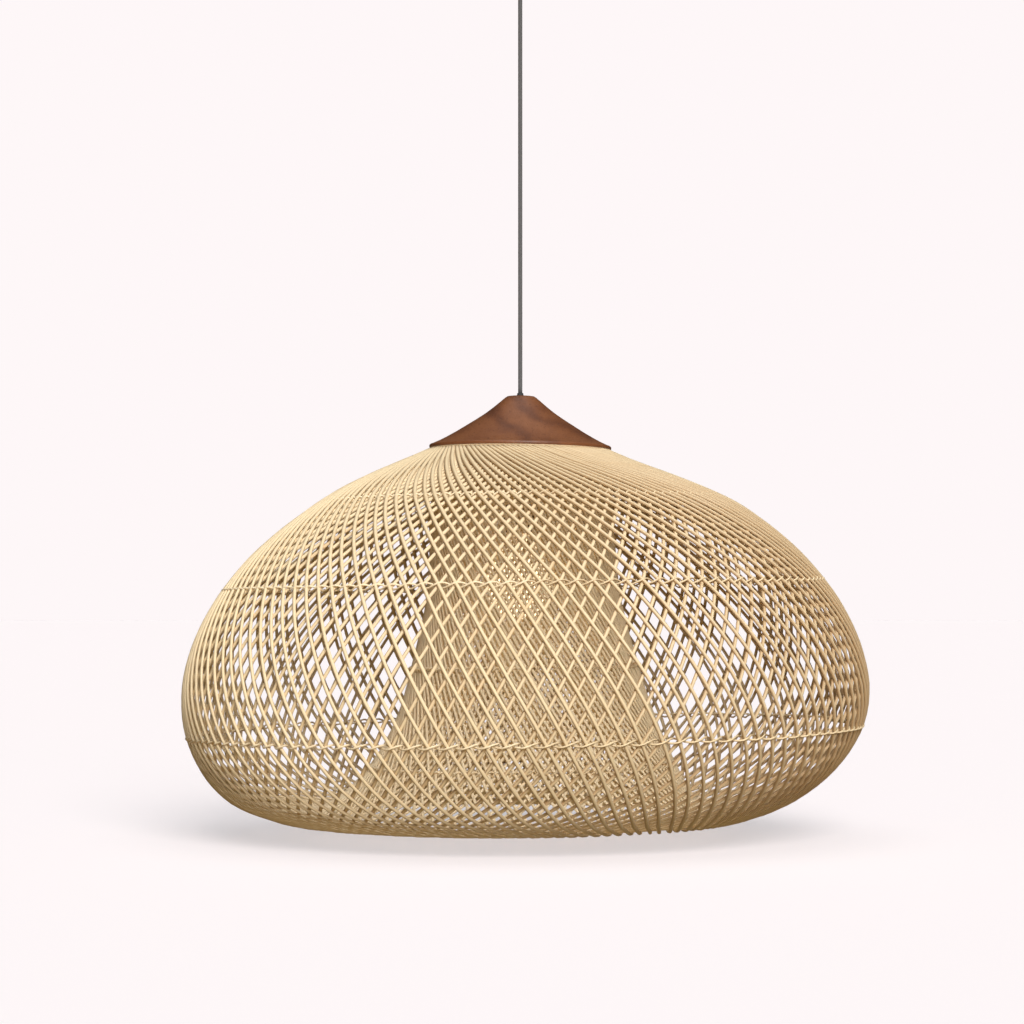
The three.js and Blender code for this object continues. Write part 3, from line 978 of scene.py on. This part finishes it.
    def at(self, step: float) -> tuple[Vector, Vector, Vector]:
        """Gives the line's point, its run and its outward normal at a step, in (radius, height).

        Args:
            step: Where along the line.

        Returns:
            The point, the unit run and the unit normal on the cap's side.
        """
        low = min(int(step), len(self.line) - 2)
        a, b = Vector(self.line[low]), Vector(self.line[low + 1])
        before = Vector(self.line[max(0, low - 1)])
        after = Vector(self.line[min(len(self.line) - 1, low + 2)])
        share = step - low
        run = ((b - before) * (1 - share) + (after - a) * share).normalized()
        return a + (b - a) * share, run, Vector((-run.y, run.x))

    def place(self, step: float, turn: float, depth: float) -> tuple[Vector, Vector]:
        """Places a point of the shade, lean included.

        Args:
            step: Where along the line.
            turn: The angle round the shade from the front, to the right.
            depth: How far behind the outer face.

        Returns:
            The point and the outward direction there.
        """
        spot, _, normal = self.at(step)
        flat = spot - normal * depth
        around = Vector((math.sin(turn), -math.cos(turn), 0.0))
        point = around * flat.x + Vector((0.0, 0.0, self.measures.cap_top + flat.y))
        outward = around * normal.x + Vector((0.0, 0.0, normal.y))
        return self.leaned(point), outward

    def leaned(self, point: Vector) -> Vector:
        """Tips a point with the cap near it and the other way further down, as hand work hangs.

        Args:
            point: Where it would be on a true shade.

        Returns:
            Where it is.
        """
        hinge = self.measures.cap_base
        share = min(1.0, max(0.0, (hinge - point.z) / self.lean_depth))
        share *= share * (3 - 2 * share)
        under = min(1.0, max(0.0, (self.measures.belly - point.z) / self.swing_depth))
        angle = self.lean_top + (self.lean - self.lean_top) * share
        angle += (self.lean_base - self.lean) * under ** 4
        low = Matrix.Rotation(angle, 3, "Y") @ Vector((point.x, point.y, point.z - hinge))
        return low + Vector((-self.swing * under * under, 0, hinge))

    def layer(self, way: Way, depth: float, seed: int, tone: float) -> bmesh.types.BMesh:
        """Sweeps all canes of one layer.

        Args:
            way: Which way they wind.
            depth: How far their middle lies behind the outer face.
            seed: Seed of their small differences.
            tone: Their middle tone.

        Returns:
            The mesh.
        """
        rng = random.Random(seed)
        routes = []
        tones = []
        turns = self.turns[way]
        for cane in range(self.canes):
            start = 2 * math.pi * cane / self.canes + rng.gauss(0.0, self.start_scatter)
            drift = rng.uniform(0.0, 90.0)
            route = []
            for step in range(self.cane_steps + 1):
                sway = noise.noise(Vector((drift, step * self.sway_pace, 3.7 * seed)))
                lift = noise.noise(Vector((drift + 40.0, step * self.lift_pace, 1.3 * seed)))
                radius = self.line[step][0]
                turn = way.value * turns[step] + start + sway * self.sway_reach / radius
                route.append(self.place(step, turn, depth + lift * self.lift_reach))
            routes.append(route)
            tones.append(min(1.0, max(0.0, rng.gauss(tone, self.tone_scatter))))
        return Sweep(self.cane_radius, 8, self.cane_flatness, self.widths()).build(routes, tones)

    def widths(self) -> list[float]:
        """Makes the canes fuller near the cap and finer up the tube, where they draw together.

        Returns:
            The share of a cane's width at each point of the line.
        """
        shares = []
        for step, (radius, height) in enumerate(self.line):
            drawn_in = 1.0 - radius / self.measures.shade_radius
            if step > self.lowest:
                change = (self.flare_width - 1.0) * min(1.0, self.flare_gain * drawn_in)
            elif step < self.lowest and height > self.crown_foot:
                change = (self.crown_width - 1.0) * min(1.0, self.crown_gain * drawn_in)
            else:
                change = 0.0
            shares.append(1.0 + change)
        return shares

    def ring(self, step: float, proud: float, seed: int) -> bmesh.types.BMesh:
        """Twines two thin canes round the crossings at one height.

        Args:
            step: Where along the line.
            proud: How far they stand out over the canes, in radii.
            seed: Seed of their small differences.

        Returns:
            The mesh.
        """
        rng = random.Random(seed)
        pitch = 2 * math.pi / self.canes
        middle = 2.0 * self.cane_radius
        reach = middle + self.ring_cane * proud
        spacing = math.dist(self.line[int(step)], self.line[int(step) + 1])
        routes = []
        for weft in (0.0, math.pi):
            route = []
            for i in range(self.canes * self.ring_steps_each + 1):
                turn = i * pitch / self.ring_steps_each
                twist = math.pi * turn / pitch + weft
                sway = noise.noise(Vector((math.sin(turn) * 6, math.cos(turn) * 6, seed)))
                across = (self.ring_sway * sway - self.ring_rise * math.sin(twist)) / spacing
                route.append(self.place(step + across, turn, middle - reach * math.cos(twist)))
            routes.append(route)
        return Sweep(self.ring_cane, 6, 0.8).build(routes, [rng.uniform(0.2, 0.5) for _ in routes], True)

    def binding(self) -> bmesh.types.BMesh:
        """Bends the thin pale rod that lies round the canes just under the cap.

        Returns:
            The mesh.
        """
        count = 180
        turns = [2 * math.pi * i / count for i in range(count + 1)]
        route = [self.place(self.binding_step, turn, self.binding_depth) for turn in turns]
        return Sweep(self.binding_rod, 12).build([route], [0.1], True)

    def build(self, cane: bpy.types.Material) -> None:
        """Builds the layers, the rings and the binding.

        Args:
            cane: The canes' finish.
        """
        outer_depth = self.cane_radius * self.cane_flatness
        inner_depth = outer_depth + 2 * self.cane_radius * self.cane_flatness
        piece("canes_right", self.layer(Way.RIGHT, outer_depth, 11, self.tone_right), cane, Body.LAMP,
              ("shade_crown_canes", "shade_belly_canes", "shade_rim_canes", "flare_mouth_canes",
               "flare_bell_canes", "flare_tube_canes"))
        piece("canes_left", self.layer(Way.LEFT, inner_depth, 23, self.left_tone_with_painted_shade), cane, Body.LAMP,
              ("shade_weave_inner", "flare_weave_outer"))
        names = ("shade_ring_upper", "shade_ring_middle", "shade_ring_lower",
                 "flare_ring_upper", "flare_ring_lower")
        for seed, (name, step, proud) in enumerate(zip(names, self.ring_steps(), self.ring_proud)):
            piece("twined_" + name, self.ring(step, proud, 60 + seed), cane, Body.LAMP, (name,))
        piece("top_binding", self.binding(), cane, Body.LAMP, ())


@dataclass
class TopHoop:
    """The rod hoop that the canes hang from, under the steel plate."""

    steps: int = 144
    inset: float = 0.0035

    def build(self, cane: bpy.types.Material) -> None:
        """Bends the hoop where the frame has it.

        Args:
            cane: Its finish.
        """
        low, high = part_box("top_hoop")
        rod = (high[2] - low[2]) / 2
        radius = high[0] - self.inset
        height = (high[2] + low[2]) / 2
        route = []
        for i in range(self.steps + 1):
            turn = 2 * math.pi * i / self.steps
            around = Vector((math.cos(turn), math.sin(turn), 0.0))
            route.append((around * radius + Vector((0, 0, height)), Vector((0, 0, 1))))
        mesh = Sweep(rod, 12).build([route], [0.6], True)
        piece("rod_hoop", mesh, cane, Body.LAMP, ("top_hoop",))


# ---------------------------------------------------------------------------------------
# Cap, cord and fittings


@dataclass
class WoodenCap:
    """The turned cap: flat top, slightly hollow cone, thin upright lip and a hollow underside.

    The outline is (radius, depth from the top) in millimetres, for a cap of the drawn size.
    """

    drawn_radius: float = 106.7
    drawn_height: float = 61.0
    outline: tuple = (
        (4.6, 0.0), (13.0, 0.0), (15.8, 0.4), (18.4, 2.0), (24.6, 7.3), (32.8, 14.2), (41.6, 21.0),
        (52.4, 28.2), (63.2, 35.0), (75.0, 42.4), (86.6, 49.1), (94.6, 53.3), (102.6, 57.0),
        (105.4, 58.0), (106.5, 58.7), (106.9, 59.6), (106.7, 61.8), (105.5, 62.8), (72.0, 61.6),
        (40.0, 36.0), (19.0, 30.0), (19.0, 9.0), (4.6, 9.0),
    )
    tilt: float = math.radians(0.8)

    def build(self, wood: bpy.types.Material) -> None:
        """Turns the cap.

        Args:
            wood: Its finish.
        """
        low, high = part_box("wooden_cap")
        wide = high[0] / self.drawn_radius
        tall = (high[2] - low[2]) / self.drawn_height
        points = [(radius * wide, high[2] - depth * tall) for radius, depth in self.outline]
        bm = Turning(points, steps=160, round_over=0.0004).build()
        centre = Vector((0, 0, low[2]))
        bmesh.ops.rotate(bm, cent=centre, matrix=Matrix.Rotation(self.tilt, 3, "Y"), verts=bm.verts)
        piece("turned_cap", bm, wood, Body.LAMP, ("wooden_cap",))


@dataclass
class Cord:
    """The textile cord from the canopy's gland to the cap, straight under the lamp's weight.

    Its sections lie close together at the top and further apart below.
    """

    radius: float = 0.0025
    sides: int = 16
    bend: float = 0.018
    inside: float = 0.0013
    overlap: float = 0.0004
    close_step: float = 0.0025
    close_count: int = 18
    far_step: float = 0.012

    def build(self, textile: bpy.types.Material) -> None:
        """Args:
            textile: Its finish.
        """
        _, grommet_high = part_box("cap_grommet")
        _, neck_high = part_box("cord_neck")
        top = neck_high[2] + self.overlap
        base = grommet_high[2] - self.inside
        heights = [top - self.close_step * i for i in range(self.close_count)]
        while heights[-1] - self.far_step > base:
            heights.append(heights[-1] - self.far_step)
        heights.append(base)
        route = [(Vector((0, 0, height)), Vector((0, -1, 0))) for height in heights]
        mesh = Sweep(self.radius, self.sides).build([route], [0.5])
        cord = piece("textile_cord", mesh, textile, Body.CORD, ("cord_neck", "suspension_cord"))
        cord.parent = None
        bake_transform(cord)
        2 * self.radius


@dataclass
class TurnedFittings:
    """The round fittings that are seen: canopy, gland, grommet, lampholder and bulb."""

    steps: int = 96
    round_over: float = 0.00025
    ribs: int = 9
    rib_first: float = 0.16
    rib_pitch: float = 0.07
    thread_first: float = 0.1
    thread_pitch: float = 0.15
    thread_ridges: int = 4
    neck_end: float = 0.28
    glass_wall: float = 0.02

    def build(self, paint: bpy.types.Material, plastic: bpy.types.Material, rubber: bpy.types.Material,
              brass: bpy.types.Material, glow: bpy.types.Material) -> None:
        """Turns each fitting inside its frame box.

        Args:
            paint: Finish of the canopy.
            plastic: Finish of the gland and the lampholder.
            rubber: Finish of the grommet.
            brass: Finish of the bulb's screw cap.
            glow: Finish of the bulb's glass.
        """
        self.turn("canopy_cover", "canopy_cup", Body.CEILING, paint, "paint", (
            (1.0, 0.0), (0.97, 0.0), (0.97, 0.87), (0.955, 0.925), (0.9, 0.967), (0.106, 0.967),
            (0.106, 1.0), (0.9, 1.0), (0.95, 0.988), (0.985, 0.957), (1.0, 0.9)))
        self.turn("cord_gland", "canopy_gland", Body.CEILING, plastic, "plastic", (
            (0.54, 0.0), (0.33, 0.0), (0.33, 0.78), (0.38, 0.93), (0.47, 1.0), (0.58, 1.0),
            (0.64, 0.985), (0.74, 0.9), (0.92, 0.68), (1.0, 0.53), (1.0, 0.4), (0.54, 0.4)))
        self.turn("cord_grommet", "cap_grommet", Body.ENTRY, rubber, "rubber", (
            (0.72, 0.06), (0.8, 0.075), (0.86, 0.16), (0.9, 0.28), (1.0, 0.33), (1.0, 1.0),
            (0.72, 1.0)))
        self.turn("holder_dome", "lampholder_dome", Body.LAMP, plastic, "plastic", (
            (0.26, 0.0), (0.40, 0.0), (0.45, 0.06), (0.49, 0.25), (0.6, 0.36), (0.8, 0.48),
            (0.95, 0.62), (1.0, 0.74), (1.0, 1.0), (0.9, 1.0), (0.9, 0.75), (0.73, 0.58), (0.26, 0.42)))
        skirt = [(0.9, 0.0), (1.0, 0.0), (1.0, 0.12)]
        for rib in range(self.ribs):
            start = self.rib_first + rib * self.rib_pitch
            skirt += [(1.0, start), (0.965, start + 0.012), (0.965, start + 0.03), (1.0, start + 0.042)]
        skirt += [(1.0, 0.97), (0.975, 1.0), (0.9, 1.0)]
        self.turn("holder_skirt", "lampholder_skirt", Body.LAMP, plastic, "plastic", skirt)
        self.turn("bulb_cap", "bulb_screw_cap", Body.BULB, brass, "brass", self.thread())
        self.turn("bulb_globe", "bulb_glass", Body.BULB, glow, "glass", self.globe())

    def turn(self, name: str, node: str, body: Body, finish: bpy.types.Material, slot: str,
             outline: Sequence[Point]) -> None:
        """Turns one fitting.

        Args:
            name: The piece's name.
            node: The CAD node that it stands for.
            body: Its body.
            finish: Its finish.
            slot: The record's slot; not used.
            outline: Its outline in shares of the node's radius and of its height, from its top.
        """
        low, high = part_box(node)
        radius = high[0]
        tall = high[2] - low[2]
        points = [(r * radius, high[2] - d * tall) for r, d in outline]
        closed = outline[0][0] > 0.0
        bm = Turning(points, self.steps, closed, self.round_over).build()
        piece(name, bm, finish, body, (node,))

    def thread(self) -> list[Point]:
        """Draws the pressed screw cap, with its four ridges.

        Returns:
            The outline in shares of the cap's radius and height.
        """
        outline = [(0.70, 0.0), (0.80, 0.02), (0.90, 0.06)]
        for ridge in range(self.thread_ridges):
            start = self.thread_first + ridge * self.thread_pitch
            for k in range(8):
                swing = 0.955 + 0.045 * math.sin(2 * math.pi * k / 8)
                outline.append((swing, start + self.thread_pitch * k / 8))
        outline += [(0.955, 0.72), (1.0, 0.82), (1.0, 1.0), (0.955, 1.0), (0.955, 0.83)]
        outline += [(0.86, 0.79), (0.68, 0.03)]
        return outline

    def globe(self) -> list[Point]:
        """Draws the glass, a thin wall open at its neck.

        Returns:
            The outline in shares of the glass's radius and height.
        """
        low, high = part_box("bulb_glass")
        radius = high[0]
        tall = high[2] - low[2]
        middle = 1.0 - radius / tall
        neck = [(0.297, 0.0), (0.3, 0.055), (0.345, 0.115), (0.43, 0.17), (0.54, 0.23)]
        start = math.asin((middle - self.neck_end) * tall / radius)
        ball = []
        for k in range(21):
            angle = start - (start + math.pi / 2) * k / 20
            ball.append((max(0.0, math.cos(angle)), middle - math.sin(angle) * radius / tall))
        ball[-1] = (0.0, ball[-1][1])
        share = 1.0 - self.glass_wall
        inner = [(r - self.glass_wall, d) for r, d in neck]
        inner += [(r * share, middle + (d - middle) * share) for r, d in ball]
        return inner[::-1] + neck + ball


def dress_frame(frame: dict, finishes: dict[str, bpy.types.Material]) -> None:
    """Gives every CAD node that stays its finish, by the record's slot.

    Args:
        finishes: The finish of each slot.
    """
    slots = {row["node"]: row["material_slot"] for row in frame["record"]["subparts"]}
    for name, node in frame["nodes"].items():
        finish = finishes[slots[name]]
        if not node.material_slots:
            node.data.materials.append(finish)
        for held in node.material_slots:
            held.link = "OBJECT"
            held.material = finish


# ---------------------------------------------------------------------------------------
# Stage, light and camera


@dataclass(frozen=True)
class Softbox:
    """A broad distant light, placed by the way that it shines from."""

    name: str
    azimuth: float
    elevation: float
    strength: float
    angle: float
    colour: tuple = (1.0, 1.0, 1.0)

    def on_floor(self) -> tuple:
        """Gives the light that it puts on a level floor, by colour."""
        share = self.strength * max(0.0, math.sin(math.radians(self.elevation))) / math.pi
        return tuple(share * part for part in self.colour)

    def build(self) -> None:
        """Adds the light."""
        data = bpy.data.lights.new(self.name, "SUN")
        data.energy = self.strength
        data.angle = math.radians(self.angle)
        data.color = self.colour
        made = bpy.data.objects.new(self.name, data)
        side, rise = math.radians(self.azimuth), math.radians(self.elevation)
        level = math.cos(rise)
        source = Vector((math.sin(side) * level, -math.cos(side) * level, math.sin(rise)))
        made.rotation_euler = source.to_track_quat("Z", "Y").to_euler()
        bpy.context.scene.collection.objects.link(made)


@dataclass
class Studio:
    """A pale paper floor just under the lamp, soft light from above and a long lens."""

    measures: Measures
    distance: float = 3.226
    eye_below_cap: float = 0.250
    sideways: float = -0.0097
    pitch: float = math.radians(2.02)
    lens: float = 96.7
    floor_gap: float = 0.018
    floor_reach: float = 60.0
    backdrop: tuple = (0.991, 0.931, 0.939)
    paper_glow: tuple = (0.5, 0.53, 0.55)
    ambient: tuple = (0.05, 0.036, 0.02)
    lights: tuple = (
        Softbox("key_light", 12.0, 29.0, 3.4, 32.0, (1.0, 0.985, 0.965)),
        Softbox("top_light", 10.0, 86.0, 1.0, 60.0),
        Softbox("bounce_light", 0.0, -40.0, 0.65, 80.0, (1.0, 0.72, 0.38)),
    )

    def build(self) -> None:
        """Builds the floor, the lights and the camera."""
        self.floor()
        self.room()
        for light in self.lights:
            light.build()
        self.camera()

    def floor(self) -> None:
        """Lays the paper, as bright under these lights as the backdrop, so no horizon shows."""
        lit = [self.ambient[k] + sum(light.on_floor()[k] for light in self.lights) for k in range(3)]
        glow = tuple(share * back for share, back in zip(self.paper_glow, self.backdrop))
        colour = tuple((back - part) / light for back, part, light in zip(self.backdrop, glow, lit))
        bm = bmesh.new()
        bmesh.ops.create_grid(bm, x_segments=1, y_segments=1, size=self.floor_reach)
        bmesh.ops.translate(bm, verts=bm.verts, vec=(0, 0, self.measures.shade_base - self.floor_gap))
        mesh = bpy.data.meshes.new("paper_floor")
        bm.to_mesh(mesh)
        bm.free()
        mesh.materials.append(PaleGround("pale_paper", colour, glow).make())
        made = bpy.data.objects.new("paper_floor", mesh)
        made.visible_diffuse = False
        made.visible_glossy = False
        made.visible_shadow = False
        bpy.context.scene.collection.objects.link(made)

    def room(self) -> None:
        """Sets the pale backdrop and the weaker even light that fills the shadows."""
        world = bpy.data.worlds.new("soft_room")
        world.use_nodes = True
        tree = world.node_tree
        tree.nodes.clear()
        shown = tree.nodes.new("ShaderNodeBackground")
        shown.inputs["Color"].default_value = (*self.backdrop, 1.0)
        fill = tree.nodes.new("ShaderNodeBackground")
        fill.inputs["Color"].default_value = (*self.ambient, 1.0)
        rays = tree.nodes.new("ShaderNodeLightPath")
        both = tree.nodes.new("ShaderNodeMixShader")
        ending = tree.nodes.new("ShaderNodeOutputWorld")
        tree.links.new(rays.outputs["Is Camera Ray"], both.inputs[0])
        tree.links.new(fill.outputs[0], both.inputs[1])
        tree.links.new(shown.outputs[0], both.inputs[2])
        tree.links.new(both.outputs[0], ending.inputs["Surface"])
        bpy.context.scene.world = world
        bpy.context.scene.view_settings.view_transform = "Standard"

    def camera(self) -> None:
        """Sets the camera."""
        data = bpy.data.cameras.new("view")
        data.lens = self.lens
        data.sensor_width = 36.0
        data.clip_end = 200.0
        made = bpy.data.objects.new("view", data)
        made.location = (self.sideways, -self.distance, self.measures.cap_top - self.eye_below_cap)
        made.rotation_euler = (math.pi / 2 + self.pitch, 0.0, 0.0)
        bpy.context.scene.collection.objects.link(made)
        bpy.context.scene.camera = made


# ---------------------------------------------------------------------------------------


def main() -> None:
    """Builds the lamp and its studio in order."""
    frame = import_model()
    measures = Measures.read()
    Studio(measures).build()

    cane = CaneFinish("rattan_cane").make()
    wood = TurnedWood("oiled_teak").make()
    textile = BraidedTextile("braided_textile").make()
    sleeve = BraidedTextile("braided_sleeve", mapped=False).make()
    paint = PowderCoat("grey_powder_coat").make()
    steel = PlatedMetal("zinc_steel").make()
    brass = PlatedMetal("pressed_brass", (0.72, 0.52, 0.22), 0.26).make()
    plastic = Moulded("black_moulding").make()
    rubber = Moulded("black_rubber", (0.03, 0.03, 0.032), 0.7, 420.0).make()
    ceramic = Moulded("steatite", (0.82, 0.8, 0.75), 0.28, 300.0).make()
    globe_low, globe_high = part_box("bulb_glass")
    glow = FrostedGlow("frosted_bulb", middle=globe_low[2] + globe_high[0]).make()
    dress_frame(frame, {
        "rattan": cane, "rattan_inside": cane, "teak": wood, "textile": sleeve, "paint": paint,
        "steel": steel, "brass": brass, "plastic": plastic, "rubber": rubber, "ceramic": ceramic,
        "glass": glow,
    })

    Cord().build(textile)
    WovenShade(measures).build(cane)
    TopHoop().build(cane)
    WoodenCap().build(wood)
    TurnedFittings().build(paint, plastic, rubber, brass, glow)


if __name__ == "__main__":
    main()
